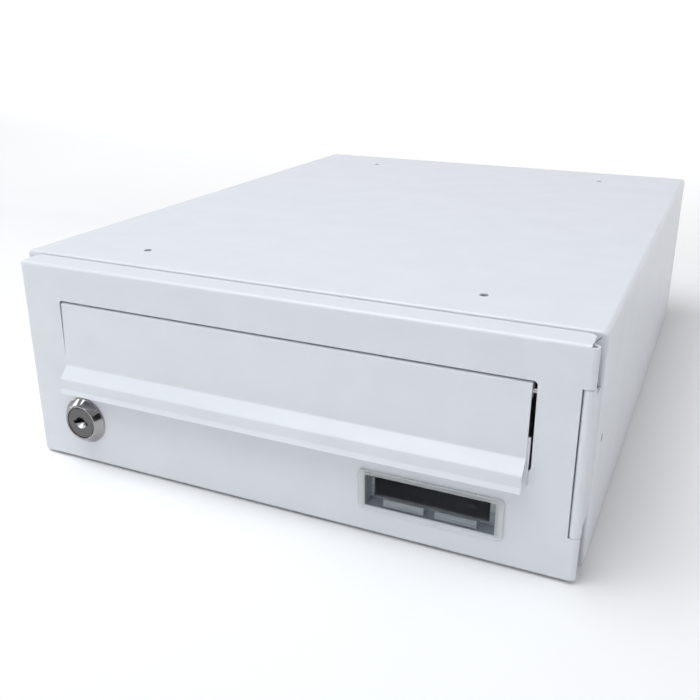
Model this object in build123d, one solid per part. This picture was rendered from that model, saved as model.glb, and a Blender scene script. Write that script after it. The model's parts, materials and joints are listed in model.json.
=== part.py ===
from build123d import *
import os
from math import hypot, sqrt

# Letterbox unit of folded sheet steel, in millimetres.
# +X is to the right seen from the front, +Y to the back, +Z up.
# The origin is the middle of the body's underside.

# ---------------------------------------------------------------- driving dimensions
# body
BODY_W = 300.0
BODY_D = 370.0
BODY_H = 110.0
BODY_SHEET = 1.0
BODY_BEND = 2.5
FRONT_BEND = 1.5
FLANGE_W = 12.0
MITRE_GAP = 0.3
BACK_FLANGE = 12.0

# screw holes that join neighbouring units and fix the unit to a wall
STACK_HOLE_R = 2.15
STACK_HOLE_X = 91.5
STACK_HOLE_FRONT = 25.5
STACK_HOLE_REAR = 36.5
SIDE_HOLE_FRONT = 14.5
SIDE_HOLE_Z = 56.8
WALL_HOLE_R = 3.25
WALL_HOLE_SPACING_X = 220.0
WALL_HOLE_SPACING_Z = 60.0

# door
DOOR_STANDOFF = 15.0
DOOR_SHEET = 0.9
DOOR_BEND = 1.8
DOOR_CORNER = 1.5
DOOR_GAP = 1.2
DOOR_INSET_LEFT = 9.0
DOOR_INSET_Z = 1.0
RETURN_END_INSET = 4.0
RETURN_END_R = 4.0

# hinge
PIN_R = 1.5
PIN_CLEAR = 0.05
LEAF_SHEET = 0.95
LEAF_TAIL = 30.0
LEAF_BOTTOM = 22.7
LEAF_TOP = 90.1
LEAF_SLOT_CLEAR = 0.3
WEB_END_INSET = 4.0
WEB_CORNER_R = 3.0
KNUCKLE_GAP = 0.3
KNUCKLE_END_INSET = 1.1
NOTCH_GAP = 0.05
PIN_RECESS = 0.4
LEAF_ROLL = (70.0, 360.0)
DOOR_ROLL = (-90.0, 215.0)

# letter opening and flap
OPENING_LEFT = -117.8
OPENING_RIGHT = 126.6
OPENING_BOTTOM = 50.0
OPENING_TOP = 90.6
OPENING_R = 1.8
FLAP_SHEET = 1.0
FLAP_GAP_LEFT = 1.2
FLAP_GAP_RIGHT = 2.1
FLAP_GAP_TOP = 0.9
FLAP_BEND = 1.6
LIP_BEND = 1.3
FLAP_TOP_RETURN = 4.6
FLAP_PROUD = 1.4
LIP_START = 33.4
LIP_SLOPE = 5.9
LIP_PROUD = 7.0
LIP_FACE = 5.2
LIP_FLARE = 2.3
LIP_FLARE_OUT = 1.3
PIVOT_DROP = 4.3
PIVOT_SET_BACK = 2.7
EAR_DROP = 7.4
EAR_DEPTH = 5.6

# strip behind the lip, which rests against the door below the opening
STRIP_SHEET = 1.0
STRIP_LAP = 9.0
STRIP_OVERHANG = 6.7
STRIP_REST_GAP = 0.2
STRIP_INSET_LEFT = 0.2
STRIP_PAST_RIGHT = 1.1

# flap rod, its brackets and the collars crimped on its ends
ROD_R = 1.2
ROD_CLEAR = 0.05
BRACKET_SHEET = 1.0
BRACKET_CLEAR = 1.2
BRACKET_FOOT = 9.0
BRACKET_ABOVE = 3.2
BRACKET_BELOW = 14.0
BRACKET_DEPTH = 5.5
COLLAR_WALL = 0.5
COLLAR_T = 1.5
COLLAR_CLEAR = 0.8
ROD_END = 0.6

# name plate
PLATE_X = 82.8
PLATE_Z = 23.7
PLATE_W = 68.4
PLATE_H = 20.0
PLATE_R = 2.4
RIM_T = 1.0
WINDOW_W = 61.0
WINDOW_H = 15.6
WINDOW_R = 0.8
WINDOW_WALL = 1.0
WINDOW_DEPTH = 8.0
PANE_T = 1.2
PANE_RECESS = 0.2
PLATE_CUT_CLEAR = 0.2
SNAP_OUT = 0.6
SNAP_LENGTH = 12.0
SNAP_DEPTH = 1.2
SNAP_PLAY = 0.1
RETAINER_T = 1.4
RAIL_LEFT = 1.4
RAIL_RIGHT = 4.2
RAIL_EDGE = 0.8
TONGUE_W = 19.4
TONGUE_SPACING = 24.8
TONGUE_H = 3.5
TONGUE_T = 0.8
TONGUE_GAP = 0.5
RIB_COUNT = 5
RIB_R = 0.25

# lock
LOCK_X = -109.5
LOCK_Z = 25.3
BEZEL_BASE_R = 12.7
BEZEL_CONE_R = 12.1
BEZEL_RIM_R = 9.75
BEZEL_BASE_T = 0.7
BEZEL_H = 4.3
BEZEL_EDGE = 0.25
BARREL_R = 9.4
BARREL_FLATS = 15.9
THREAD_PITCH = 1.0
THREAD_DEPTH = 0.5
THREAD_START = 2.2
LOCK_HOLE_CLEAR = 0.15
NUT_ACROSS_FLATS = 24.0
NUT_T = 3.5
NUT_CLEAR = 0.05
PLUG_HEAD_R = 8.3
PLUG_HEAD_GAP = 0.3
PLUG_HEAD_T = 2.0
PLUG_RECESS = 0.3
PLUG_R = 6.3
PLUG_CLEAR = 0.05
KEY_SLOT_W = 9.2
KEY_SLOT_H = 1.9
KEY_SLOT_DEPTH = 14.0
KEY_DISH_R = 3.2
KEY_DISH_FLOOR_R = 1.3
KEY_DISH_DEPTH = 2.4
WAFER_COUNT = 4
WAFER_PITCH = 2.4
WAFER_FIRST = 5.0
WAFER_T = 0.8
WAFER_W = 11.0
WAFER_H = 5.4
WAFER_WINDOW_W = 8.6
WAFER_WINDOW_H = 2.2
WAFER_CLEAR = 0.1
SHANK = 7.8
SHANK_ROUND_R = 4.9
SHANK_CLEAR = 0.1
CAM_GAP = 0.8
CAM_T = 1.8
CAM_HUB_R = 9.5
CAM_ARM_W = 14.0
CAM_REACH = 36.0
CAM_TIP_R = 4.0
STOP_T = 1.0
STOP_R = 6.9
STOP_TAB_OUT = 2.1
STOP_TAB_W = 4.0
STOP_CLEAR = 0.1
RUN_GAP = 0.1
SCREW_R = 2.0
SCREW_LENGTH = 9.0
SCREW_HEAD_R = 3.6
SCREW_HEAD_T = 2.4
SCREW_SLOT_W = 1.0
SCREW_SLOT_DEPTH = 1.1
WASHER_R = 4.4
WASHER_T = 0.8

# ---------------------------------------------------------------- derived places
X_SIDE = BODY_W / 2
Y_FRONT = -BODY_D / 2
Y_BACK = BODY_D / 2
Y_DOOR = Y_FRONT - DOOR_STANDOFF
Y_DOOR_IN = Y_DOOR + DOOR_SHEET
Y_RETURN = Y_FRONT - DOOR_GAP
DOOR_LEFT = -X_SIDE + DOOR_INSET_LEFT
DOOR_BOTTOM = DOOR_INSET_Z
DOOR_TOP = BODY_H - DOOR_INSET_Z
RETURN_RIGHT = X_SIDE - RETURN_END_INSET

KNUCKLE_R = PIN_R + LEAF_SHEET
DOOR_ROLL_IN = PIN_R + PIN_CLEAR
DOOR_ROLL_OUT = DOOR_ROLL_IN + DOOR_SHEET
X_HINGE = X_SIDE - BODY_SHEET - KNUCKLE_R
Y_HINGE = Y_DOOR + DOOR_ROLL_OUT
KNUCKLE_BOTTOM = DOOR_BOTTOM + KNUCKLE_END_INSET
KNUCKLE_TOP = DOOR_TOP - KNUCKLE_END_INSET
NOTCH_LEFT = X_HINGE - KNUCKLE_R - NOTCH_GAP

FLAP_LEFT = OPENING_LEFT + FLAP_GAP_LEFT
FLAP_RIGHT = OPENING_RIGHT - FLAP_GAP_RIGHT
FLAP_TOP = OPENING_TOP - FLAP_GAP_TOP
Y_PIVOT = Y_DOOR + PIVOT_SET_BACK
Z_PIVOT = FLAP_TOP - PIVOT_DROP
Z_LIP = FLAP_TOP - LIP_START
FLAP_DEPTH_IN_Y = FLAP_SHEET * hypot(LIP_START, FLAP_PROUD) / LIP_START

Y_CAM = Y_FRONT + BODY_SHEET + CAM_GAP
Y_STOP = Y_CAM - STOP_T
Y_BARREL_END = Y_STOP - RUN_GAP
Y_BEZEL = Y_DOOR - BEZEL_H
Y_PLUG = Y_BEZEL + PLUG_RECESS


# ---------------------------------------------------------------- helpers
def block(x, y, z):
    """A box between a low and a high limit along each axis."""
    spans = (sorted(x), sorted(y), sorted(z))
    size = [high - low for low, high in spans]
    middle = [(high + low) / 2 for low, high in spans]
    return Pos(*middle) * Box(*size)


def round_bar(radius, start, end):
    """A cylinder whose axis runs from one point to another."""
    direction = Vector(*end) - Vector(*start)
    base = Plane(origin=start, z_dir=direction.normalized())
    return Solid.make_cylinder(radius, direction.length, base)


def bent_strip(points, thickness, bends, x):
    """Sheet folded about lines along X; points are the outer face's (y, z), top first."""
    path = Polyline(*points)
    corners = path.vertices()
    for point, radius in zip(points[1:-1], bends):
        corner = min(corners, key=lambda v: (Vector(v) - Vector(*point)).length)
        path = fillet(corner, radius)
        corners = path.vertices()
    section = offset(path, amount=thickness, side=Side.LEFT)
    face = Plane.YZ * make_face(section)
    return Pos(x[0], 0, 0) * extrude(face, amount=x[1] - x[0])


def knuckle(inner, outer, roll, z):
    """A rolled sheet edge about the hinge axis, open between its end and its start."""
    sweep = roll[1] - roll[0]
    outside = CenterArc((0, 0), outer, roll[0], sweep)
    inside = CenterArc((0, 0), inner, roll[0], sweep)
    ends = [Line(outside @ t, inside @ t) for t in (0, 1)]
    section = make_face([outside, inside, *ends])
    return Pos(X_HINGE, Y_HINGE, z[0]) * extrude(section, amount=z[1] - z[0])


def turned(profile, x, z):
    """Turn a closed (radius, y) profile about an axis along Y."""
    face = make_face(Polyline(*profile, close=True))
    return Pos(x, 0, z) * revolve(face, Axis.Y)


def key_slot(y, width, height):
    """A slot across the plug with round ends, from one depth to another."""
    outline = Plane.XZ.offset(-y[0]) * SlotOverall(width, height)
    return Pos(LOCK_X, 0, LOCK_Z) * extrude(outline, amount=y[0] - y[1])


# ---------------------------------------------------------------- body
def body_wrap():
    """Top, sides and bottom in one wrap, with its front edges folded inwards."""
    outer = block((-X_SIDE, X_SIDE), (Y_FRONT, Y_BACK), (0, BODY_H))
    outer = fillet(outer.edges().filter_by(Axis.Y), BODY_BEND)
    outer = fillet(outer.faces().sort_by(Axis.Y)[0].edges(), FRONT_BEND)
    inner = block(
        (-X_SIDE + BODY_SHEET, X_SIDE - BODY_SHEET),
        (Y_FRONT + BODY_SHEET, Y_BACK + BODY_SHEET),
        (BODY_SHEET, BODY_H - BODY_SHEET),
    )
    inner = fillet(inner.edges().filter_by(Axis.Y), BODY_BEND - BODY_SHEET)
    inner = fillet(inner.faces().sort_by(Axis.Y)[0].edges(), FRONT_BEND - BODY_SHEET)
    front_skin = (Y_FRONT - BODY_SHEET, Y_FRONT + 2 * BODY_SHEET)
    mouth_x = X_SIDE - FLANGE_W
    mouth = block((-mouth_x, mouth_x), front_skin, (FLANGE_W, BODY_H - FLANGE_W))
    leaf_x = X_SIDE - BODY_SHEET
    leaf_slot = block(
        (leaf_x - LEAF_SHEET - LEAF_SLOT_CLEAR, leaf_x),
        front_skin,
        (LEAF_BOTTOM + WEB_END_INSET - LEAF_SLOT_CLEAR, LEAF_TOP - WEB_END_INSET + LEAF_SLOT_CLEAR),
    )
    wrap = outer - inner - mouth - leaf_slot
    for cut in mitre_cuts(front_skin) + stack_holes() + side_holes():
        wrap -= cut
    return wrap


def mitre_cuts(front_skin):
    """The open corner joints of the front flange, one on each diagonal."""
    past_corner = FLANGE_W + MITRE_GAP
    diagonal = (past_corner - BODY_BEND) * sqrt(2)
    middle = (past_corner + BODY_BEND) / 2
    depth = front_skin[1] - front_skin[0]
    y = (front_skin[0] + front_skin[1]) / 2
    cuts = []
    for side_x in (-1, 1):
        for side_z in (-1, 1):
            x = side_x * (X_SIDE - middle)
            z = BODY_H / 2 + side_z * (BODY_H / 2 - middle)
            turn = -45 * side_x * side_z
            cuts.append(Pos(x, y, z) * Rot(0, turn, 0) * Box(diagonal, depth, MITRE_GAP))
    return cuts


def stack_holes():
    """Screw holes through top and bottom, which join units that stand on each other."""
    rows = (Y_FRONT + STACK_HOLE_FRONT, Y_BACK - STACK_HOLE_REAR)
    above = BODY_H + BODY_SHEET
    return [
        round_bar(STACK_HOLE_R, (x, y, -BODY_SHEET), (x, y, above))
        for x in (-STACK_HOLE_X, STACK_HOLE_X)
        for y in rows
    ]


def side_holes():
    """One screw hole in each side, which joins units that stand side by side."""
    y = Y_FRONT + SIDE_HOLE_FRONT
    outside = X_SIDE + BODY_SHEET
    return [round_bar(STACK_HOLE_R, (-outside, y, SIDE_HOLE_Z), (outside, y, SIDE_HOLE_Z))]


def back_panel():
    """Shallow tray pushed into the back of the wrap, with four wall fixing holes."""
    wall = X_SIDE - BODY_SHEET
    low, high = BODY_SHEET, BODY_H - BODY_SHEET
    inner_bend = BODY_BEND - BODY_SHEET
    tray = block((-wall, wall), (Y_BACK - BACK_FLANGE, Y_BACK), (low, high))
    tray = fillet(tray.edges().filter_by(Axis.Y), inner_bend)
    tray = fillet(tray.faces().sort_by(Axis.Y)[-1].edges(), inner_bend)
    hollow = block(
        (-wall + BODY_SHEET, wall - BODY_SHEET),
        (Y_BACK - 2 * BACK_FLANGE, Y_BACK - BODY_SHEET),
        (low + BODY_SHEET, high - BODY_SHEET),
    )
    tray -= hollow
    for side_x in (-1, 1):
        for side_z in (-1, 1):
            x = side_x * WALL_HOLE_SPACING_X / 2
            z = BODY_H / 2 + side_z * WALL_HOLE_SPACING_Z / 2
            tray -= round_bar(WALL_HOLE_R, (x, Y_BACK - BACK_FLANGE, z), (x, Y_BACK + 1, z))
    return tray


# ---------------------------------------------------------------- hinge
def hinge_leaf():
    """Strip welded inside the right wall; its front end is rolled round the pin."""
    outer_x = X_SIDE - BODY_SHEET
    inner_x = outer_x - LEAF_SHEET
    y_neck = Y_HINGE + KNUCKLE_R
    z = (LEAF_BOTTOM, LEAF_TOP)
    web_z = (z[0] + WEB_END_INSET, z[1] - WEB_END_INSET)
    web = block((inner_x, outer_x), (y_neck, Y_FRONT + LEAF_TAIL), web_z)
    neck = block((inner_x, outer_x), (Y_HINGE, y_neck), z)
    leaf = web + neck + knuckle(PIN_R, KNUCKLE_R, LEAF_ROLL, z)
    for end, inward in ((z[0], 1), (z[1], -1)):
        leaf += neck_round(y_neck, end + inward * WEB_END_INSET, inward)
    return leaf - side_holes()[0]


def neck_round(y, z, inward):
    """Fills the corner where the leaf's neck narrows, with a round of its own."""
    x = (X_SIDE - BODY_SHEET - LEAF_SHEET, X_SIDE - BODY_SHEET)
    far_y = y + WEB_CORNER_R
    far_z = z - inward * WEB_CORNER_R
    corner = block(x, (y, far_y), (far_z, z))
    return corner - round_bar(WEB_CORNER_R, (x[0] - 1, far_y, far_z), (x[1] + 1, far_y, far_z))


def hinge_pin():
    """Plain pin through the door's two knuckles and the leaf's knuckle."""
    low = KNUCKLE_BOTTOM + PIN_RECESS
    high = KNUCKLE_TOP - PIN_RECESS
    return round_bar(PIN_R, (X_HINGE, Y_HINGE, low), (X_HINGE, Y_HINGE, high))


# ---------------------------------------------------------------- door
def door_tray():
    """Door face with its left, top and bottom returns; the hinge side is open."""
    span_z = (DOOR_BOTTOM, DOOR_TOP)
    outer = block((DOOR_LEFT, RETURN_RIGHT), (Y_DOOR, Y_RETURN), span_z)
    left = outer.faces().sort_by(Axis.X)[0]
    outer = fillet(left.edges().filter_by(Axis.Y), DOOR_CORNER)
    front = outer.faces().sort_by(Axis.Y)[0]
    hinge_edge = front.edges().sort_by(Axis.X)[-1]
    outer = fillet([edge for edge in front.edges() if edge != hinge_edge], DOOR_BEND)
    inner = block(
        (DOOR_LEFT + DOOR_SHEET, RETURN_RIGHT + DOOR_SHEET),
        (Y_DOOR_IN, Y_RETURN + DOOR_SHEET),
        (DOOR_BOTTOM + DOOR_SHEET, DOOR_TOP - DOOR_SHEET),
    )
    left_inside = inner.faces().sort_by(Axis.X)[0]
    inner = fillet(left_inside.edges().filter_by(Axis.Y), DOOR_CORNER - DOOR_SHEET)
    front = inner.faces().sort_by(Axis.Y)[0]
    hinge_edge = front.edges().sort_by(Axis.X)[-1]
    inner = fillet([edge for edge in front.edges() if edge != hinge_edge], DOOR_BEND - DOOR_SHEET)
    return outer - inner


def return_end_cut():
    """Rounds the free corner of the top and bottom returns beside the hinge."""
    x = RETURN_RIGHT - RETURN_END_R
    y = Y_RETURN - RETURN_END_R
    z = (DOOR_BOTTOM - 1, DOOR_TOP + 1)
    corner = block((x, RETURN_RIGHT + 1), (y, Y_RETURN + 1), z)
    return corner - round_bar(RETURN_END_R, (x, y, z[0]), (x, y, z[1]))


def opening_cut():
    """The letter opening in the door's face."""
    width = OPENING_RIGHT - OPENING_LEFT
    height = OPENING_TOP - OPENING_BOTTOM
    middle = ((OPENING_RIGHT + OPENING_LEFT) / 2, (OPENING_TOP + OPENING_BOTTOM) / 2)
    outline = Plane.XZ.offset(-Y_DOOR + 1) * Pos(*middle) * RectangleRounded(width, height, OPENING_R)
    return extrude(outline, amount=-(DOOR_SHEET + 2))


def lock_hole_cut():
    """Round hole with two flats, so the lock can't turn in the door."""
    depth = (Y_DOOR - 1, Y_DOOR_IN + 1)
    hole = round_bar(BARREL_R + LOCK_HOLE_CLEAR, (LOCK_X, depth[0], LOCK_Z), (LOCK_X, depth[1], LOCK_Z))
    half = BARREL_FLATS / 2 + LOCK_HOLE_CLEAR
    reach = 2 * BARREL_R
    return hole & block((LOCK_X - reach, LOCK_X + reach), depth, (LOCK_Z - half, LOCK_Z + half))


def plate_cut():
    """Cut-out that the name plate's walls pass through."""
    half_w = WINDOW_W / 2 + WINDOW_WALL + PLATE_CUT_CLEAR
    half_h = WINDOW_H / 2 + WINDOW_WALL + PLATE_CUT_CLEAR
    return block(
        (PLATE_X - half_w, PLATE_X + half_w),
        (Y_DOOR - 1, Y_DOOR_IN + 1),
        (PLATE_Z - half_h, PLATE_Z + half_h),
    )


def door_panel():
    """Door sheet: face, returns, cut-outs and the two knuckles rolled from its right edge."""
    knuckle_z = (KNUCKLE_BOTTOM, KNUCKLE_TOP)
    hinge_strip = block((RETURN_RIGHT - RETURN_END_R, X_HINGE), (Y_DOOR, Y_DOOR_IN), knuckle_z)
    panel = door_tray() - return_end_cut() + hinge_strip
    panel += knuckle(DOOR_ROLL_IN, DOOR_ROLL_OUT, DOOR_ROLL, knuckle_z)
    notch = block(
        (NOTCH_LEFT, X_SIDE),
        (Y_DOOR - 1, Y_RETURN + 1),
        (LEAF_BOTTOM - KNUCKLE_GAP, LEAF_TOP + KNUCKLE_GAP),
    )
    for cut in (notch, opening_cut(), lock_hole_cut(), plate_cut()):
        panel -= cut
    return panel


# ---------------------------------------------------------------- letter flap
def flap_face(z):
    """The y of the flap's flat outer face, which leans out a little towards the lip."""
    return Y_DOOR - FLAP_PROUD * (FLAP_TOP - z) / LIP_START


def letter_flap():
    """Flap sheet: top return, flat face, flared pull lip and a pierced ear at each end."""
    y_lip = Y_DOOR - LIP_PROUD
    z_fold = Z_LIP - LIP_SLOPE
    z_flare = z_fold - LIP_FACE
    outline = [
        (Y_DOOR + FLAP_TOP_RETURN, FLAP_TOP),
        (Y_DOOR, FLAP_TOP),
        (flap_face(Z_LIP), Z_LIP),
        (y_lip, z_fold),
        (y_lip, z_flare),
        (y_lip - LIP_FLARE_OUT, z_flare - LIP_FLARE),
    ]
    bends = [FLAP_BEND, LIP_BEND, LIP_BEND, LIP_BEND]
    flap = bent_strip(outline, FLAP_SHEET, bends, (FLAP_LEFT, FLAP_RIGHT))
    for x in ((FLAP_LEFT, FLAP_LEFT + FLAP_SHEET), (FLAP_RIGHT - FLAP_SHEET, FLAP_RIGHT)):
        flap += flap_ear(x)
    far_left = FLAP_LEFT - 1
    far_right = FLAP_RIGHT + 1
    bore = round_bar(ROD_R + ROD_CLEAR, (far_left, Y_PIVOT, Z_PIVOT), (far_right, Y_PIVOT, Z_PIVOT))
    return flap - bore


def flap_ear(x):
    """The tab folded back at one end of the flap, with a round free corner."""
    ear = block(
        x,
        (Y_DOOR + FLAP_SHEET / 2, Y_DOOR + EAR_DEPTH),
        (FLAP_TOP - EAR_DROP, FLAP_TOP - FLAP_SHEET / 2),
    )
    rear = ear.edges().filter_by(Axis.X).sort_by(Axis.Y)[-2:]
    return fillet(rear, FLAP_BEND)


def flap_stop_strip():
    """Strip behind the flap; its lower leg rests on the door below the opening."""
    rest_face = Y_DOOR - STRIP_REST_GAP - STRIP_SHEET
    top = Z_LIP + STRIP_LAP
    bottom = OPENING_BOTTOM - STRIP_OVERHANG
    outline = [
        (flap_face(top) + FLAP_DEPTH_IN_Y, top),
        (flap_face(Z_LIP) + FLAP_DEPTH_IN_Y, Z_LIP),
        (rest_face, OPENING_BOTTOM + STRIP_SHEET),
        (rest_face, bottom),
    ]
    x = (FLAP_LEFT + STRIP_INSET_LEFT, FLAP_RIGHT + STRIP_PAST_RIGHT)
    return bent_strip(outline, STRIP_SHEET, [LIP_BEND, LIP_BEND], x)


def bracket_faces(side):
    """The x of a bracket's upright leg: its face towards the flap and its outer face."""
    edge = OPENING_RIGHT if side > 0 else OPENING_LEFT
    near = edge + side * BRACKET_CLEAR
    return near, near + side * BRACKET_SHEET


def flap_bracket(side):
    """Angle welded behind the door's face beside the opening; it holds one end of the rod."""
    near, far = bracket_faces(side)
    bottom = Z_PIVOT - BRACKET_BELOW
    foot = block(
        (near, near + side * BRACKET_FOOT),
        (Y_DOOR_IN, Y_DOOR_IN + BRACKET_SHEET),
        (bottom, Z_PIVOT - ROD_R - COLLAR_WALL - COLLAR_CLEAR),
    )
    leg = block((near, far), (Y_DOOR_IN, Y_DOOR_IN + BRACKET_DEPTH), (bottom, Z_PIVOT + BRACKET_ABOVE))
    rear = leg.edges().filter_by(Axis.X).sort_by(Axis.Y)[-2:]
    bracket = foot + fillet(rear, FLAP_BEND)
    return bracket - round_bar(ROD_R, (near - side, Y_PIVOT, Z_PIVOT), (far + side, Y_PIVOT, Z_PIVOT))


def rod_end(side):
    """The x where the rod ends, just past its collar."""
    return bracket_faces(side)[1] + side * (COLLAR_T + ROD_END)


def flap_rod():
    """Rod that the flap turns on."""
    return round_bar(ROD_R, (rod_end(-1), Y_PIVOT, Z_PIVOT), (rod_end(1), Y_PIVOT, Z_PIVOT))


def rod_collars():
    """A collar crimped on each end of the rod, outside its bracket."""
    collars = []
    for side in (-1, 1):
        start = bracket_faces(side)[1]
        end = start + side * COLLAR_T
        sleeve = round_bar(ROD_R + COLLAR_WALL, (start, Y_PIVOT, Z_PIVOT), (end, Y_PIVOT, Z_PIVOT))
        hole = round_bar(ROD_R, (start - side, Y_PIVOT, Z_PIVOT), (end + side, Y_PIVOT, Z_PIVOT))
        collars.append(sleeve - hole)
    return Compound(collars)


# ---------------------------------------------------------------- name plate
def rounded_block(width, height, radius, y):
    """A plate about the name plate's centre, with round corners."""
    outline = Plane.XZ.offset(-y[0]) * RectangleRounded(width, height, radius)
    return Pos(PLATE_X, 0, PLATE_Z) * extrude(outline, amount=y[0] - y[1])


def nameplate_window():
    """Clear moulding: rim on the door's face, walls through the cut-out, front pane."""
    y_rim = Y_DOOR - RIM_T
    y_pane = y_rim + PANE_RECESS
    y_end = Y_DOOR + WINDOW_DEPTH
    beyond = (y_rim - 1, y_end + 1)
    rim = rounded_block(PLATE_W, PLATE_H, PLATE_R, (y_rim, Y_DOOR))
    rim = fillet(rim.faces().sort_by(Axis.Y)[0].edges(), RIM_T / 2)
    walls_w = WINDOW_W + 2 * WINDOW_WALL
    walls_h = WINDOW_H + 2 * WINDOW_WALL
    walls = rounded_block(walls_w, walls_h, WINDOW_R + WINDOW_WALL, (Y_DOOR - RIM_T / 2, y_end))
    hollow = rounded_block(WINDOW_W, WINDOW_H, WINDOW_R, beyond)
    pane = rounded_block(WINDOW_W, WINDOW_H, WINDOW_R, (y_pane, y_pane + PANE_T))
    window = rim + walls - hollow + pane
    for side in (-1, 1):
        window += snap_rib(side, walls_h / 2)
    return window


def snap_rib(side, wall):
    """Wedge on one long wall that snaps behind the door's sheet."""
    z_root = PLATE_Z + side * (wall - WINDOW_WALL / 2)
    z_wall = PLATE_Z + side * wall
    z_out = z_wall + side * SNAP_OUT
    y_catch = Y_DOOR_IN + SNAP_PLAY
    y_ramp = y_catch + SNAP_DEPTH
    points = [(y_catch, z_root), (y_catch, z_out), (y_ramp, z_wall), (y_ramp, z_root)]
    wedge = Plane.YZ * make_face(Polyline(*points, close=True))
    return Pos(PLATE_X - SNAP_LENGTH / 2, 0, 0) * extrude(wedge, amount=SNAP_LENGTH)


def nameplate_retainer():
    """Clear frame pressed into the window's back, with two ribbed tongues that hold a card."""
    y = (Y_DOOR + WINDOW_DEPTH - RETAINER_T, Y_DOOR + WINDOW_DEPTH)
    low = PLATE_Z - WINDOW_H / 2
    high = PLATE_Z + WINDOW_H / 2
    frame = rounded_block(WINDOW_W, WINDOW_H, WINDOW_R, y)
    opening = block(
        (PLATE_X - WINDOW_W / 2 + RAIL_LEFT, PLATE_X + WINDOW_W / 2 - RAIL_RIGHT),
        (y[0] - 1, y[1] + 1),
        (low + RAIL_EDGE, high - RAIL_EDGE),
    )
    frame -= opening
    for side in (-1, 1):
        frame += tongue(PLATE_X + side * TONGUE_SPACING / 2, y[0], low)
    return frame


def tongue(x, y_root, z):
    """An arm along the window's floor that turns up behind the pane, ribbed towards it."""
    span = (x - TONGUE_W / 2, x + TONGUE_W / 2)
    y_front = Y_DOOR - RIM_T + PANE_RECESS + PANE_T + TONGUE_GAP
    arm = block(span, (y_front, y_root + RETAINER_T / 2), (z, z + TONGUE_T))
    upright = block(span, (y_front, y_front + TONGUE_T), (z, z + TONGUE_H))
    shape = arm + upright
    pitch = TONGUE_H / RIB_COUNT
    for index in range(RIB_COUNT):
        height = z + pitch * (index + 0.5)
        shape += round_bar(RIB_R, (span[0], y_front, height), (span[1], y_front, height))
    return shape


# ---------------------------------------------------------------- lock
def thread_profile():
    """The (radius, y) points of the ridged barrel, from the door to its inner end."""
    start = Y_DOOR + THREAD_START
    turns = int((Y_BARREL_END - start) / THREAD_PITCH)
    points = [(BARREL_R, Y_DOOR), (BARREL_R, start)]
    for turn in range(turns):
        y = start + turn * THREAD_PITCH
        points.append((BARREL_R - THREAD_DEPTH, y + THREAD_PITCH / 2))
        points.append((BARREL_R, y + THREAD_PITCH))
    points.append((BARREL_R - THREAD_DEPTH, Y_BARREL_END))
    return points


def lock_housing():
    """Conical bezel in front of the door and a ridged barrel with two flats behind it."""
    bore = PLUG_R + PLUG_CLEAR
    counterbore = PLUG_HEAD_R + PLUG_HEAD_GAP
    y_step = Y_PLUG + PLUG_HEAD_T + RUN_GAP
    y_cone = Y_DOOR - BEZEL_BASE_T
    bezel = turned(
        [
            (bore, Y_DOOR),
            (bore, y_step),
            (counterbore, y_step),
            (counterbore, Y_BEZEL + BEZEL_EDGE),
            (counterbore + BEZEL_EDGE, Y_BEZEL),
            (BEZEL_RIM_R - BEZEL_EDGE, Y_BEZEL),
            (BEZEL_RIM_R, Y_BEZEL + BEZEL_EDGE),
            (BEZEL_CONE_R, y_cone),
            (BEZEL_BASE_R - BEZEL_EDGE, y_cone),
            (BEZEL_BASE_R, y_cone + BEZEL_EDGE),
            (BEZEL_BASE_R, Y_DOOR),
        ],
        LOCK_X,
        LOCK_Z,
    )
    profile = [(bore, Y_DOOR), *thread_profile(), (bore, Y_BARREL_END)]
    barrel = turned(profile, LOCK_X, LOCK_Z)
    reach = 2 * BARREL_R
    half = BARREL_FLATS / 2
    flats = block(
        (LOCK_X - reach, LOCK_X + reach),
        (Y_DOOR, Y_CAM),
        (LOCK_Z - half, LOCK_Z + half),
    )
    return bezel + ((barrel + stop_rim()) & flats)


def stop_rim():
    """Rim round the stop washer, cut away where the washer's tab turns."""
    y = (Y_BARREL_END, Y_CAM - RUN_GAP)
    rim = turned(
        [
            (STOP_R + STOP_CLEAR, y[0]),
            (BARREL_R - THREAD_DEPTH, y[0]),
            (BARREL_R - THREAD_DEPTH, y[1]),
            (STOP_R + STOP_CLEAR, y[1]),
        ],
        LOCK_X,
        LOCK_Z,
    )
    start = -STOP_TAB_W / 2 - STOP_CLEAR
    beyond = 2 * BARREL_R
    notch = block(
        (LOCK_X + start, LOCK_X + beyond),
        (y[0], y[1] + 1),
        (LOCK_Z + start, LOCK_Z + beyond),
    )
    return rim - notch


def lock_nut():
    """Flat hexagon nut that clamps the lock from inside the door."""
    outline = Plane.XZ.offset(-Y_DOOR_IN) * RegularPolygon(NUT_ACROSS_FLATS / 2, 6, major_radius=False)
    nut = Pos(LOCK_X, 0, LOCK_Z) * extrude(outline, amount=-NUT_T)
    ends = ((LOCK_X, Y_DOOR_IN - 1, LOCK_Z), (LOCK_X, Y_DOOR_IN + NUT_T + 1, LOCK_Z))
    return nut - round_bar(BARREL_R + NUT_CLEAR, *ends)


def wafer_places():
    """The y of each wafer's front face."""
    return [Y_PLUG + WAFER_FIRST + index * WAFER_PITCH for index in range(WAFER_COUNT)]


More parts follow.
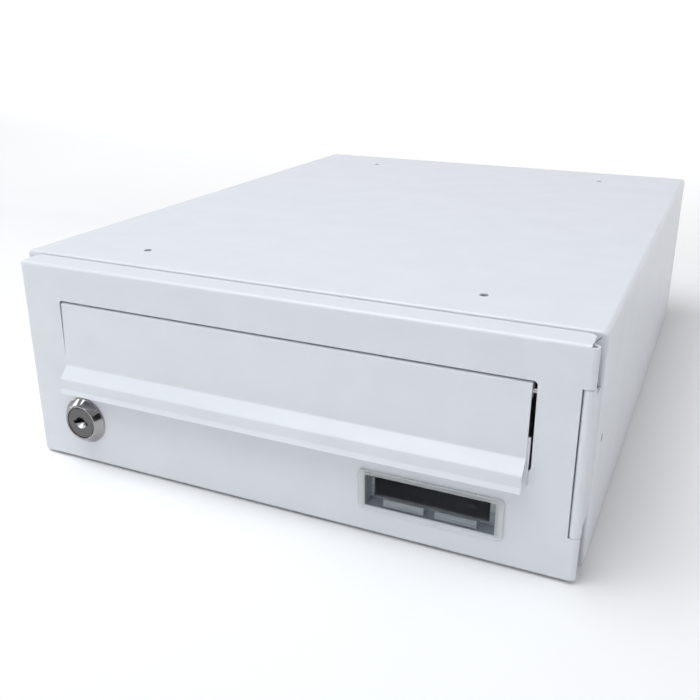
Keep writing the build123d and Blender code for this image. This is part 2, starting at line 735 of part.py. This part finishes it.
def lock_plug():
    """Turning core: round head, barrel, keyway with a dished centre, square shank."""
    y_step = Y_PLUG + PLUG_HEAD_T
    y_shank = Y_STOP - RUN_GAP / 2
    y_end = Y_CAM + CAM_T
    axis = (LOCK_X, LOCK_Z)
    head = round_bar(PLUG_HEAD_R, (LOCK_X, Y_PLUG, LOCK_Z), (LOCK_X, y_step, LOCK_Z))
    head = fillet(head.faces().sort_by(Axis.Y)[0].edges(), BEZEL_EDGE)
    barrel = round_bar(PLUG_R, (LOCK_X, y_step, LOCK_Z), (LOCK_X, y_shank, LOCK_Z))
    square = block(
        (LOCK_X - SHANK / 2, LOCK_X + SHANK / 2),
        (y_shank, y_end),
        (LOCK_Z - SHANK / 2, LOCK_Z + SHANK / 2),
    )
    shank = square & round_bar(SHANK_ROUND_R, (LOCK_X, y_shank, LOCK_Z), (LOCK_X, y_end, LOCK_Z))
    plug = head + barrel + shank
    plug -= key_slot((Y_PLUG - 1, Y_PLUG + KEY_SLOT_DEPTH), KEY_SLOT_W, KEY_SLOT_H)
    dish = [
        (0, Y_PLUG),
        (KEY_DISH_R, Y_PLUG),
        (KEY_DISH_FLOOR_R, Y_PLUG + KEY_DISH_DEPTH),
        (0, Y_PLUG + KEY_DISH_DEPTH),
    ]
    plug -= turned(dish, *axis)
    for y in wafer_places():
        plug -= wafer_blank(y, WAFER_CLEAR)
    tapped = (LOCK_X, y_end - SCREW_LENGTH, LOCK_Z)
    return plug - round_bar(SCREW_R, tapped, (LOCK_X, y_end + 1, LOCK_Z))


def wafer_blank(y, clear):
    """The outline of one wafer, or of the slot it slides in when a clearance is given."""
    half_w = WAFER_W / 2 + clear
    half_h = WAFER_H / 2 + clear
    return block(
        (LOCK_X - half_w, LOCK_X + half_w),
        (y, y + WAFER_T),
        (LOCK_Z - half_h, LOCK_Z + half_h),
    )


def lock_wafers():
    """Flat wafers across the plug, each with a window for the key."""
    wafers = []
    for y in wafer_places():
        window = key_slot((y - 1, y + WAFER_T + 1), WAFER_WINDOW_W, WAFER_WINDOW_H)
        wafers.append(wafer_blank(y, 0) - window)
    return Compound(wafers)


def shank_hole(y):
    """Square hole that fits the plug's shank with a little play."""
    half = SHANK / 2 + SHANK_CLEAR
    return block((LOCK_X - half, LOCK_X + half), y, (LOCK_Z - half, LOCK_Z + half))


def stop_washer():
    """Washer with one tab, which turns with the plug and limits it to a quarter turn."""
    y = (Y_STOP, Y_CAM)
    disc = round_bar(STOP_R, (LOCK_X, y[0], LOCK_Z), (LOCK_X, y[1], LOCK_Z))
    tab = block(
        (LOCK_X, LOCK_X + STOP_R + STOP_TAB_OUT),
        y,
        (LOCK_Z - STOP_TAB_W / 2, LOCK_Z + STOP_TAB_W / 2),
    )
    return disc + tab - shank_hole((y[0] - 1, y[1] + 1))


def lock_cam():
    """Flat cam that points up when open and turns behind the body's left flange."""
    y = (Y_CAM, Y_CAM + CAM_T)
    half = CAM_ARM_W / 2
    hub = round_bar(CAM_HUB_R, (LOCK_X, y[0], LOCK_Z), (LOCK_X, y[1], LOCK_Z))
    arm = block((LOCK_X - half, LOCK_X + half), y, (LOCK_Z, LOCK_Z + CAM_REACH))
    arm = fillet(arm.edges().filter_by(Axis.Y).sort_by(Axis.Z)[-2:], CAM_TIP_R)
    return hub + arm - shank_hole((y[0] - 1, y[1] + 1))


def cam_washer():
    """Round washer under the cam screw's head."""
    y = (Y_CAM + CAM_T, Y_CAM + CAM_T + WASHER_T)
    disc = round_bar(WASHER_R, (LOCK_X, y[0], LOCK_Z), (LOCK_X, y[1], LOCK_Z))
    return disc - round_bar(SCREW_R, (LOCK_X, y[0] - 1, LOCK_Z), (LOCK_X, y[1] + 1, LOCK_Z))


def cam_screw():
    """Slotted screw that holds the cam on the plug."""
    y_head = Y_CAM + CAM_T + WASHER_T
    y_tip = Y_CAM + CAM_T - SCREW_LENGTH
    y_end = y_head + SCREW_HEAD_T
    shank = round_bar(SCREW_R, (LOCK_X, y_tip, LOCK_Z), (LOCK_X, y_head, LOCK_Z))
    head = round_bar(SCREW_HEAD_R, (LOCK_X, y_head, LOCK_Z), (LOCK_X, y_end, LOCK_Z))
    head = fillet(head.faces().sort_by(Axis.Y)[-1].edges(), SCREW_HEAD_T / 3)
    slot = block(
        (LOCK_X - SCREW_HEAD_R, LOCK_X + SCREW_HEAD_R),
        (y_end - SCREW_SLOT_DEPTH, y_end + 1),
        (LOCK_Z - SCREW_SLOT_W / 2, LOCK_Z + SCREW_SLOT_W / 2),
    )
    return shank + head - slot


# ---------------------------------------------------------------- output
PIECES = {
    "body_wrap": body_wrap,
    "back_panel": back_panel,
    "hinge_leaf": hinge_leaf,
    "hinge_pin": hinge_pin,
    "door_panel": door_panel,
    "letter_flap": letter_flap,
    "flap_stop_strip": flap_stop_strip,
    "flap_bracket_left": lambda: flap_bracket(-1),
    "flap_bracket_right": lambda: flap_bracket(1),
    "flap_rod": flap_rod,
    "rod_collars": rod_collars,
    "nameplate_window": nameplate_window,
    "nameplate_retainer": nameplate_retainer,
    "lock_housing": lock_housing,
    "lock_nut": lock_nut,
    "lock_plug": lock_plug,
    "lock_wafers": lock_wafers,
    "stop_washer": stop_washer,
    "lock_cam": lock_cam,
    "cam_washer": cam_washer,
    "cam_screw": cam_screw,
}

os.makedirs("parts", exist_ok=True)
for name, build in PIECES.items():
    export_step(build(), f"parts/{name}.step")
    print("wrote", name)
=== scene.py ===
# %% [markdown]
# # A folded-steel letterbox unit
#
# The object is one module of a bank of letterboxes: a wrap of white powder-coated sheet, a door
# on a rolled hinge, a letter flap with a pull lip, a chrome cam lock and a clear name plate window.
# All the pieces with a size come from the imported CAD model, which is loaded as a fixed frame.
# This script adds what the CAD doesn't hold: finishes, light and a camera.

# %% Load the fixed frame
import json
from math import cos, radians, sin

import bpy
from mathutils import Matrix, Vector


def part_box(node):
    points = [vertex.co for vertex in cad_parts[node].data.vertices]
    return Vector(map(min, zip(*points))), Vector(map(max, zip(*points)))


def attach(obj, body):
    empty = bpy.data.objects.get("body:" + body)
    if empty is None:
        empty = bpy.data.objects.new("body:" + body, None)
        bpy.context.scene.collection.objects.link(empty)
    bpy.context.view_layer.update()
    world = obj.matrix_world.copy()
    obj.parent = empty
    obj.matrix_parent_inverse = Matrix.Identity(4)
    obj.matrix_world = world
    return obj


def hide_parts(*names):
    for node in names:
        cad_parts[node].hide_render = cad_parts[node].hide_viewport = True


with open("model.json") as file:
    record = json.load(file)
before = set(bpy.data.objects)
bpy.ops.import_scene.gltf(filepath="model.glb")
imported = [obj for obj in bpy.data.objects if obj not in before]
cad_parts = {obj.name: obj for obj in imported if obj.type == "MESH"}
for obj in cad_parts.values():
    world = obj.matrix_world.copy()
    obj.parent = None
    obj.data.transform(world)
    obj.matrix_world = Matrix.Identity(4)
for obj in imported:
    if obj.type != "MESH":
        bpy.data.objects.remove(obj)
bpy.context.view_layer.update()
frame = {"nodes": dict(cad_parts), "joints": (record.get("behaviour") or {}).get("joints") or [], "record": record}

nodes = frame["nodes"]

# %% [markdown]
# ## Small helpers for node materials
#
# Every finish here is a Principled shader with a few procedural textures before it. They read
# Object coordinates, in metres, so a grain of 1 mm is a scale of about 1000 wherever the piece is.
# Numbers that are the same all over a surface sit on the shader's own sockets.

# %% Start a material
def shader_of(material):
    return material.node_tree.nodes["Principled BSDF"]


def new_finish(name, base, roughness, metallic=0.0):
    material = bpy.data.materials.new(name)
    material.use_nodes = True
    shader = shader_of(material)
    shader.inputs["Base Color"].default_value = (*base, 1)
    shader.inputs["Roughness"].default_value = roughness
    shader.inputs["Metallic"].default_value = metallic
    material.diffuse_color = (*base, 1)
    return material


def add_node(material, kind, **values):
    node = material.node_tree.nodes.new(kind)
    for name, value in values.items():
        node.inputs[name.replace("_", " ")].default_value = value
    return node


def link(material, source, target):
    material.node_tree.links.new(source, target)


# %% [markdown]
# ## Mottle and grain
#
# A real surface is never one even value. `mottle` spreads a colour or a roughness between two
# values with soft noise, and `grain` adds a height that the light catches. Both take the size of
# the pattern in millimetres, because that is how a finish is described in a workshop.

# %% Noise that drives colour, roughness and height
MM = 0.001
# noise seldom leaves this middle part of its range
NOISE_LOW = 0.3
NOISE_HIGH = 0.7
# the colour mix node's sockets are picked by number, because several share a name
MIX_FACTOR = 0
MIX_FIRST = 6
MIX_SECOND = 7
MIX_RESULT = 2
MOTTLE_DETAIL = 3.0
GRAIN_DETAIL = 2.0


def noise(material, size_mm, detail=MOTTLE_DETAIL, stretch=(1, 1, 1)):
    place = add_node(material, "ShaderNodeTexCoord")
    mapping = add_node(material, "ShaderNodeMapping", Scale=stretch)
    pattern = add_node(material, "ShaderNodeTexNoise", Scale=1 / (size_mm * MM), Detail=detail)
    link(material, place.outputs["Object"], mapping.inputs["Vector"])
    link(material, mapping.outputs["Vector"], pattern.inputs["Vector"])
    return pattern.outputs["Fac"]


def value_range(material, source, start, end, low=0.0, high=1.0):
    """Turns a value that runs from start to end into one that runs from low to high."""
    spread = add_node(material, "ShaderNodeMapRange")
    spread.inputs["From Min"].default_value = start
    spread.inputs["From Max"].default_value = end
    spread.inputs["To Min"].default_value = low
    spread.inputs["To Max"].default_value = high
    link(material, source, spread.inputs["Value"])
    return spread.outputs["Result"]


def blend_colours(material, factor, first, second):
    blend = material.node_tree.nodes.new("ShaderNodeMix")
    blend.data_type = "RGBA"
    blend.inputs[MIX_FIRST].default_value = (*first, 1)
    blend.inputs[MIX_SECOND].default_value = (*second, 1)
    link(material, factor, blend.inputs[MIX_FACTOR])
    return blend


def mottle_value(material, socket, low, high, size_mm, stretch=(1, 1, 1)):
    pattern = noise(material, size_mm, stretch=stretch)
    spread = value_range(material, pattern, NOISE_LOW, NOISE_HIGH, low, high)
    link(material, spread, shader_of(material).inputs[socket])


def mottle_colour(material, dark, light, size_mm, stretch=(1, 1, 1)):
    ramp = add_node(material, "ShaderNodeValToRGB")
    ramp.color_ramp.elements[0].position = NOISE_LOW
    ramp.color_ramp.elements[0].color = (*dark, 1)
    ramp.color_ramp.elements[1].position = NOISE_HIGH
    ramp.color_ramp.elements[1].color = (*light, 1)
    link(material, noise(material, size_mm, stretch=stretch), ramp.inputs["Fac"])
    link(material, ramp.outputs["Color"], shader_of(material).inputs["Base Color"])


def grain(material, size_mm, height_mm, below=None, stretch=(1, 1, 1)):
    bump = add_node(material, "ShaderNodeBump", Strength=1.0, Distance=height_mm * MM)
    link(material, noise(material, size_mm, GRAIN_DETAIL, stretch), bump.inputs["Height"])
    if below is not None:
        link(material, below.outputs["Normal"], bump.inputs["Normal"])
    link(material, bump.outputs["Normal"], shader_of(material).inputs["Normal"])
    return bump


# %% [markdown]
# ## White powder coat
#
# Powder is sprayed on dry and melts in an oven, so it rounds every edge and keeps a fine
# orange-peel texture about a millimetre across. Under it the thin sheet is never quite flat, which
# a second, much larger and lower wave shows as slow changes in the reflections.

# %% Powder coat
def powder_coat(name):
    white = new_finish(name, (0.794, 0.818, 0.858), roughness=0.36)
    mottle_colour(white, (0.780, 0.803, 0.845), (0.808, 0.832, 0.872), size_mm=22)
    mottle_value(white, "Roughness", 0.32, 0.42, size_mm=6)
    sheet_wave = grain(white, size_mm=110, height_mm=0.12)
    grain(white, size_mm=0.9, height_mm=0.006, below=sheet_wave)
    shader = shader_of(white)
    shader.inputs["Coat Weight"].default_value = 0.15
    shader.inputs["Coat Roughness"].default_value = 0.18
    return white


white_paint = powder_coat("white_powder_coat")

# %% [markdown]
# ## Metals of the lock and the pins
#
# The lock's housing is a zinc casting under chrome, and its plug is darker and satin. The dish round
# the keyway looks dark above and bright below. Those are most likely reflections, but here they are
# painted, by distance from the lock's axis and by height. That is a shortcut: paint turns with the
# plug, and a reflection would stay where it is. The small parts behind the door are zinc plated, and
# the wafers are brass. Drawn pins carry fine lines along their length, so their grain is stretched.

# %% Metals
chrome = new_finish("bright_chrome", (0.36, 0.35, 0.35), roughness=0.12, metallic=1.0)
mottle_value(chrome, "Roughness", 0.09, 0.17, size_mm=2.5)
grain(chrome, size_mm=0.5, height_mm=0.002)

PLUG_BASE = (0.15, 0.145, 0.145)
# the dish's two colours are a painted reflection: painted shade above the axis, painted highlight below it
DISH_PAINTED_SHADE = (0.015, 0.015, 0.018)
DISH_PAINTED_HIGHLIGHT = (0.90, 0.93, 0.95)
KEY_DISH_R = 3.3 * MM
DISH_EDGE_SOFT = 0.2 * MM
PAINTED_SHADE_ABOVE = -0.4 * MM
PAINTED_HIGHLIGHT_BELOW = -1.2 * MM
lock_axis = next(joint["pos_m"] for joint in frame["joints"] if joint["name"] == "lock_turn")

plug_metal = new_finish("dark_satin_plug", PLUG_BASE, roughness=0.34, metallic=1.0)
mottle_value(plug_metal, "Roughness", 0.32, 0.46, size_mm=0.8)
grain(plug_metal, size_mm=0.25, height_mm=0.004)

plug_place = add_node(plug_metal, "ShaderNodeTexCoord")
to_axis = add_node(plug_metal, "ShaderNodeMapping", Location=(-lock_axis[0], 0, -lock_axis[2]))
flatten = add_node(plug_metal, "ShaderNodeMapping", Scale=(1, 0, 1))
radius = plug_metal.node_tree.nodes.new("ShaderNodeVectorMath")
radius.operation = "LENGTH"
height = add_node(plug_metal, "ShaderNodeSeparateXYZ")
in_dish = value_range(plug_metal, radius.outputs["Value"], KEY_DISH_R, KEY_DISH_R - DISH_EDGE_SOFT)
# mask of the painted reflection in the dish, by height
painted_reflection_mask = value_range(plug_metal, height.outputs["Z"], PAINTED_SHADE_ABOVE, PAINTED_HIGHLIGHT_BELOW)
painted_reflection_colour = blend_colours(plug_metal, painted_reflection_mask, DISH_PAINTED_SHADE, DISH_PAINTED_HIGHLIGHT)
plug_colour = blend_colours(plug_metal, in_dish, PLUG_BASE, DISH_PAINTED_SHADE)
# this link takes the place of the second colour
link(plug_metal, painted_reflection_colour.outputs[MIX_RESULT], plug_colour.inputs[MIX_SECOND])
link(plug_metal, plug_place.outputs["Object"], to_axis.inputs["Vector"])
link(plug_metal, to_axis.outputs["Vector"], flatten.inputs["Vector"])
link(plug_metal, flatten.outputs["Vector"], radius.inputs[0])
link(plug_metal, to_axis.outputs["Vector"], height.inputs["Vector"])
link(plug_metal, plug_colour.outputs[MIX_RESULT], shader_of(plug_metal).inputs["Base Color"])

zinc_plate = new_finish("zinc_plate", (0.62, 0.63, 0.64), roughness=0.34, metallic=1.0)
mottle_colour(zinc_plate, (0.55, 0.56, 0.57), (0.68, 0.69, 0.70), size_mm=3)
mottle_value(zinc_plate, "Roughness", 0.28, 0.45, size_mm=1.5)
grain(zinc_plate, size_mm=0.4, height_mm=0.004)

drawn_steel = new_finish("drawn_steel", (0.58, 0.58, 0.59), roughness=0.3, metallic=1.0)
mottle_value(drawn_steel, "Roughness", 0.24, 0.42, size_mm=0.6, stretch=(1, 1, 0.05))
grain(drawn_steel, size_mm=0.2, height_mm=0.003, stretch=(1, 1, 0.05))

brass = new_finish("wafer_brass", (0.78, 0.62, 0.33), roughness=0.3, metallic=1.0)
mottle_colour(brass, (0.70, 0.54, 0.27), (0.82, 0.66, 0.37), size_mm=1.2)
grain(brass, size_mm=0.3, height_mm=0.003)

# %% [markdown]
# ## Clear moulded plastic
#
# The name plate is injection-moulded in clear plastic a millimetre thick. Real refraction would
# have to carry the light down to the paint behind the rim and back, which leaves it dark and noisy.
# A thin clear moulding hardly bends light, so it is made as a film instead: mostly see-through
# where it is met square on, and denser at a glancing angle, as a clear edge looks. At a glancing
# angle the colour changes too: the rim's edges turn darker, which is painted shade, and the walls
# turn lighter, which is a painted sheen. The ribbed tongues carry fine streaks of painted light and
# shade for their ribs. The pane is given a faint dark tint as painted shade, only to bring the inside
# behind it down to the right darkness.

# %% Clear plastic
CLEAR_PLASTIC_IOR = 1.49
PAINTED_EDGE_START = 0.40
PAINTED_EDGE_END = 0.75
FACING_BLEND = 0.35
SMOOTHEST_SHARE = 0.7
ROUGHEST_SHARE = 1.5


def clear_film(name, tint, painted_edge_shade_and_sheen, square_on, glancing, roughness):
    film = new_finish(name, tint, roughness)
    shader = shader_of(film)
    shader.inputs["IOR"].default_value = CLEAR_PLASTIC_IOR
    facing = add_node(film, "ShaderNodeLayerWeight", Blend=FACING_BLEND).outputs["Facing"]
    link(film, value_range(film, facing, 0, 1, square_on, glancing), shader.inputs["Alpha"])
    # the colour at a glancing angle is painted: painted shade where it darkens, a painted sheen where it lightens
    painted_edge_mask = value_range(film, facing, PAINTED_EDGE_START, PAINTED_EDGE_END)
    colour = blend_colours(film, painted_edge_mask, tint, painted_edge_shade_and_sheen)
    link(film, colour.outputs[MIX_RESULT], shader.inputs["Base Color"])
    smoothest = roughness * SMOOTHEST_SHARE
    roughest = roughness * ROUGHEST_SHARE
    mottle_value(film, "Roughness", smoothest, roughest, size_mm=3)
    grain(film, size_mm=1.2, height_mm=0.004)
    return film


# the rim's darker edges are painted shade
rim_plastic = clear_film(
    "clear_rim", tint=(0.92, 0.94, 0.95), painted_edge_shade_and_sheen=(0.28, 0.30, 0.29),
    square_on=0.34, glancing=0.88, roughness=0.08,
)
# the walls' lighter edges are a painted sheen
wall_plastic = clear_film(
    "clear_walls", tint=(0.70, 0.77, 0.82), painted_edge_shade_and_sheen=(0.85, 0.90, 0.93),
    square_on=0.45, glancing=0.85, roughness=0.10,
)
# the pane's near-black tint is painted shade for the dark inside seen through it
pane_plastic = clear_film(
    "clear_pane", tint=(0.004, 0.010, 0.018), painted_edge_shade_and_sheen=(0.02, 0.03, 0.04),
    square_on=0.10, glancing=0.20, roughness=0.04,
)
shader_of(pane_plastic).inputs["Specular IOR Level"].default_value = 0.2
tongue_plastic = clear_film(
    "clear_tongues", tint=(0.85, 0.92, 0.96), painted_edge_shade_and_sheen=(0.98, 1, 1),
    square_on=0.75, glancing=1.0, roughness=0.12,
)
# streaks of painted light and shade that stand for the light on the tongues' ribs
mottle_colour(tongue_plastic, (0.55, 0.63, 0.68), (0.98, 1, 1), size_mm=0.7, stretch=(0.03, 1, 1))

# %% [markdown]
# ## Give each node its finish
#
# The record says which material slot each node takes, so one table from slot to finish is enough.

# %% Assign the finishes
FINISHES = {
    "white_paint": white_paint,
    "lock_chrome": chrome,
    "plug_metal": plug_metal,
    "zinc_steel": zinc_plate,
    "pin_steel": drawn_steel,
    "wafer_brass": brass,
    "clear_plastic": tongue_plastic,
}

for part in frame["record"]["subparts"]:
    mesh = nodes[part["node"]].data
    mesh.materials.clear()
    mesh.materials.append(FINISHES[part["material_slot"]])

# %% [markdown]
# ## The name plate window
#
# One moulding makes the rim on the door's face, the pane inside it and the four walls that pass
# through the door. It could be joined from boxes, but then every joint would show through the
# clear plastic. So one block is inset and extruded, which keeps a single closed skin: the front
# gives the rim and the pane, and the back gives the walls. A last small bevel gives each edge the
# bright line by which clear plastic is seen.

# %% Edit-mode helpers
FACING = 0.9
SMOOTH_DEGREES = 35


def start_block(name, low, high):
    bpy.ops.object.select_all(action="DESELECT")
    bpy.ops.mesh.primitive_cube_add(size=1)
    piece = bpy.context.object
    piece.name = name
    bpy.ops.object.mode_set(mode="EDIT")
    bpy.ops.transform.resize(value=high - low)
    bpy.ops.transform.translate(value=(low + high) / 2)
    bpy.ops.object.mode_set(mode="OBJECT")
    return piece


def pick_faces(piece, wanted):
    bpy.ops.object.mode_set(mode="EDIT")
    bpy.ops.mesh.select_mode(type="FACE")
    bpy.ops.mesh.select_all(action="DESELECT")
    bpy.ops.object.mode_set(mode="OBJECT")
    for face in piece.data.polygons:
        face.select = wanted(face)
    bpy.ops.object.mode_set(mode="EDIT")


def pick_edges(piece, wanted):
    bpy.ops.object.mode_set(mode="EDIT")
    bpy.ops.mesh.select_mode(type="EDGE")
    bpy.ops.mesh.select_all(action="DESELECT")
    bpy.ops.object.mode_set(mode="OBJECT")
    points = piece.data.vertices
    for edge in piece.data.edges:
        edge.select = wanted(*[points[i].co for i in edge.vertices])
    bpy.ops.object.mode_set(mode="EDIT")


def inset_to(size, outer, centre):
    """Insets the picked face by its smaller margin, then stretches it along X to the wanted width."""
    margin = (outer.y - size.y) / 2
    bpy.ops.mesh.inset(thickness=margin)
    stretch = size.x / (outer.x - 2 * margin)
    bpy.ops.transform.resize(value=(stretch, 1, 1), center_override=centre)


def push(distance):
    bpy.ops.mesh.extrude_region_move(TRANSFORM_OT_translate={"value": (0, distance, 0)})


def finish_block(piece, edge_mm, segments=2):
    bpy.ops.object.mode_set(mode="OBJECT")
    bevel = piece.modifiers.new("edges", "BEVEL")
    bevel.width = edge_mm * MM
    bevel.segments = segments
    bevel.limit_method = "ANGLE"
    bpy.ops.object.modifier_apply(modifier=bevel.name)
    bpy.ops.object.mode_set(mode="EDIT")
    bpy.ops.mesh.select_all(action="SELECT")
    bpy.ops.mesh.normals_make_consistent(inside=False)
    bpy.ops.object.mode_set(mode="OBJECT")
    bpy.ops.object.shade_smooth_by_angle(angle=radians(SMOOTH_DEGREES))


# %% [markdown]
# ## Sizes of the window
#
# The rim and the walls take their sizes from the two CAD nodes of the name plate, so the moulding
# fits the door's cut-out and the retainer behind it.

# %% Sizes of the window
RIM_CORNER = 2.4 * MM
CORNER_SEGMENTS = 8
RIM_LIFT = 0.05 * MM
RIM_THICK = 1.0 * MM
PANE_RECESS = 0.2 * MM
PANE_THICK = 1.2 * MM
WALL_THICK = 1.0 * MM
WINDOW_EDGE_MM = 0.22
PANE_MATERIAL = 1
WALL_MATERIAL = 2

window_low, window_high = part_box("nameplate_window")
retainer_low, retainer_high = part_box("nameplate_retainer")
door_face = window_low.y + RIM_THICK
plate_centre = (window_low + window_high) / 2
rim_size = Vector((window_high.x - window_low.x, window_high.z - window_low.z))
opening_size = Vector((retainer_high.x - retainer_low.x, retainer_high.z - retainer_low.z))
# the snap ribs stand out of the walls but not out of the rim, so the rim gives the full size
walls_size = opening_size + Vector((2 * WALL_THICK, 2 * WALL_THICK))

# %% [markdown]
# ## Shape the window
#
# The block's four corners are rounded first, while the edges at them are still the only ones that
# run from front to back. The front is then inset and pushed in for the pane, and the back is inset
# and drawn out for the walls.

# %% Shape the window
rim_back = Vector((window_high.x, door_face - RIM_LIFT, window_high.z))
window = start_block("nameplate_clear_window", window_low, rim_back)
pick_edges(window, lambda a, b: abs(a.y - b.y) > RIM_THICK / 2)
bpy.ops.mesh.bevel(offset=RIM_CORNER, segments=CORNER_SEGMENTS, affect="EDGES")

pick_faces(window, lambda face: face.normal.y < -FACING)
inset_to(opening_size, rim_size, plate_centre)
push(PANE_RECESS)

pick_faces(window, lambda face: face.normal.y > FACING)
inset_to(walls_size, rim_size, plate_centre)
push(window_high.y - rim_back.y)
bpy.ops.mesh.inset(thickness=WALL_THICK)
pane_back = window_low.y + PANE_RECESS + PANE_THICK
push(pane_back - window_high.y)
finish_block(window, WINDOW_EDGE_MM)

# %% [markdown]
# ## Finish the window
#
# The pane, the walls and the rim are one piece but look different, so each face takes one of three
# films by where it lies.

# %% Finish the window
window.data.materials.append(rim_plastic)
window.data.materials.append(pane_plastic)
window.data.materials.append(wall_plastic)
in_opening = opening_size / 2
for face in window.data.polygons:
    off = face.center - plate_centre
    inside = abs(off.x) < in_opening.x and abs(off.z) < in_opening.y
    if inside and abs(face.normal.y) > FACING and face.center.y < pane_back + RIM_THICK:
        face.material_index = PANE_MATERIAL
    elif face.center.y > door_face + RIM_THICK:
        face.material_index = WALL_MATERIAL
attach(window, "door")
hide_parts("nameplate_window")
print("window:", len(window.data.polygons), "faces")

# %% [markdown]
# ## Floor
#
# The unit stands on a pale floor that curves up into a wall behind it, all in one sheet. The floor
# glows more with distance, so the scene's own camera sees no horizon. From other sides the end of
# the sheet shows, with the grey room behind it.

# %% Floor and wall in one sheet
FLOOR_HALF = 9.0
FLOOR_SHIFT = -4.0
FLOOR_DROP = 0.0002
WALL_HEIGHT = 1.5
WALL_CURVE = 1.0
WALL_SEGMENTS = 16
GLOW_START = 0.25
GLOW_END = 1.5
FLOOR_GLOW = 0.0
WALL_GLOW = 0.68

bpy.ops.object.select_all(action="DESELECT")
bpy.ops.mesh.primitive_plane_add(size=2 * FLOOR_HALF, location=(FLOOR_SHIFT, 0, -FLOOR_DROP))
floor = bpy.context.object
floor.name = "floor"
pick_edges(floor, lambda a, b: min(a.y, b.y) > 0)
bpy.ops.mesh.extrude_region_move(TRANSFORM_OT_translate={"value": (0, 0, WALL_HEIGHT)})
pick_edges(floor, lambda a, b: min(a.y, b.y) > 0 and max(a.z, b.z) < WALL_HEIGHT / 2)
bpy.ops.mesh.bevel(offset=WALL_CURVE, segments=WALL_SEGMENTS, affect="EDGES")
bpy.ops.object.mode_set(mode="OBJECT")
bpy.ops.object.shade_smooth()
floor_paint = new_finish("pale_floor", (0.97, 0.97, 0.97), roughness=0.8)
floor_light = shader_of(floor_paint)
floor_light.inputs["Emission Color"].default_value = (1, 1, 1, 1)
along = add_node(floor_paint, "ShaderNodeTexCoord")
depth = add_node(floor_paint, "ShaderNodeSeparateXYZ")
link(floor_paint, along.outputs["Object"], depth.inputs["Vector"])
glow = value_range(floor_paint, depth.outputs["Y"], GLOW_START, GLOW_END, FLOOR_GLOW, WALL_GLOW)
link(floor_paint, glow, floor_light.inputs["Emission Strength"])
floor.data.materials.append(floor_paint)

# %% [markdown]
# ## Lights
#
# One large soft light overhead and in front makes the top and the lip's slope the brightest faces.
# A small one on the right lifts that side a little, and a narrow one on the left is there for the
# lock's sake.

# %% Lights
UNIT_CENTRE = Vector((0, 0, 0.05))
TOP_WATTS = 17
FILL_WATTS = 1.2
STRIP_WATTS = 4


def soft_light(name, place, size, watts, colour):
    lamp = bpy.data.lights.new(name, "AREA")
    lamp.shape = "RECTANGLE"
    lamp.size, lamp.size_y = size
    lamp.energy = watts
    lamp.color = colour
    holder = bpy.data.objects.new(name, lamp)
    holder.location = place
    holder.rotation_euler = (UNIT_CENTRE - Vector(place)).to_track_quat("-Z", "Y").to_euler()
    bpy.context.scene.collection.objects.link(holder)


soft_light(
    "top_light", place=(-0.35, -0.5, 1.5), size=(1.2, 1.2), watts=TOP_WATTS, colour=(0.93, 0.965, 1)
)
soft_light(
    "side_fill", place=(1.1, -0.5, 0.95), size=(0.6, 0.6), watts=FILL_WATTS, colour=(1, 0.98, 0.97)
)
soft_light(
    "strip_light", place=(-1.51, -0.09, 0.54), size=(0.35, 0.9), watts=STRIP_WATTS, colour=(1, 1, 1)
)

# %% [markdown]
# ## Card and room
#
# Chrome shows only what stands round it. The strip light gives the lock its white streak, and a
# black card on the right gives it its dark block. The card is there to be reflected, so the camera
# doesn't see it directly from any side. The even light of the room fills the shadows.

# %% Card and room
ROOM_STRENGTH = 0.42
LOCK_PLACE = (-0.11, -0.2, 0.03)
CARD_PLACE = (0.73, -0.68, 0.29)
CARD_SIZE = 0.42

bpy.ops.object.select_all(action="DESELECT")
facing_lock = (Vector(LOCK_PLACE) - Vector(CARD_PLACE)).to_track_quat("Z", "Y").to_euler()
bpy.ops.mesh.primitive_plane_add(size=CARD_SIZE, location=CARD_PLACE, rotation=facing_lock)
black_card = bpy.context.object
black_card.name = "black_card"
black_card.visible_camera = False
black_card.data.materials.append(new_finish("black_card", (0.02, 0.02, 0.02), roughness=0.8))

world = bpy.data.worlds.new("white_room")
world.use_nodes = True
room = world.node_tree.nodes["Background"]
room.inputs["Color"].default_value = (0.98, 0.985, 1, 1)
room.inputs["Strength"].default_value = ROOM_STRENGTH
bpy.context.scene.world = world
bpy.context.scene.view_settings.view_transform = "Standard"

# %% [markdown]
# ## Camera
#
# The camera looks down at the unit from the front and a little to the right, with a moderate wide
# lens, so the depth tapers clearly. Its place and its turn were worked out from the body's
# straight edges.

# %% Camera
CAMERA_PLACE = (0.18746, -0.50944, 0.22568)
CAMERA_TURN = 0.416
CAMERA_DOWN = 0.357
CAMERA_ROLL = 0.005
LENS_MM = 43.506
SENSOR_MM = 36
SHIFT = (-0.0192, -0.0249)

look = Vector((-sin(CAMERA_TURN) * cos(CAMERA_DOWN), cos(CAMERA_TURN) * cos(CAMERA_DOWN), -sin(CAMERA_DOWN)))
level_right = look.cross(Vector((0, 0, 1))).normalized()
level_up = level_right.cross(look)
right = level_right * cos(CAMERA_ROLL) + level_up * sin(CAMERA_ROLL)
up = right.cross(look)

lens = bpy.data.cameras.new("camera")
lens.lens = LENS_MM
lens.sensor_width = SENSOR_MM
lens.shift_x, lens.shift_y = SHIFT
lens.clip_start = 0.01
lens.clip_end = 50
camera = bpy.data.objects.new("camera", lens)
bpy.context.scene.collection.objects.link(camera)
turn = Matrix((right, up, -look)).transposed().to_4x4()
camera.matrix_world = Matrix.Translation(CAMERA_PLACE) @ turn
bpy.context.scene.camera = camera
print("camera at", CAMERA_PLACE)
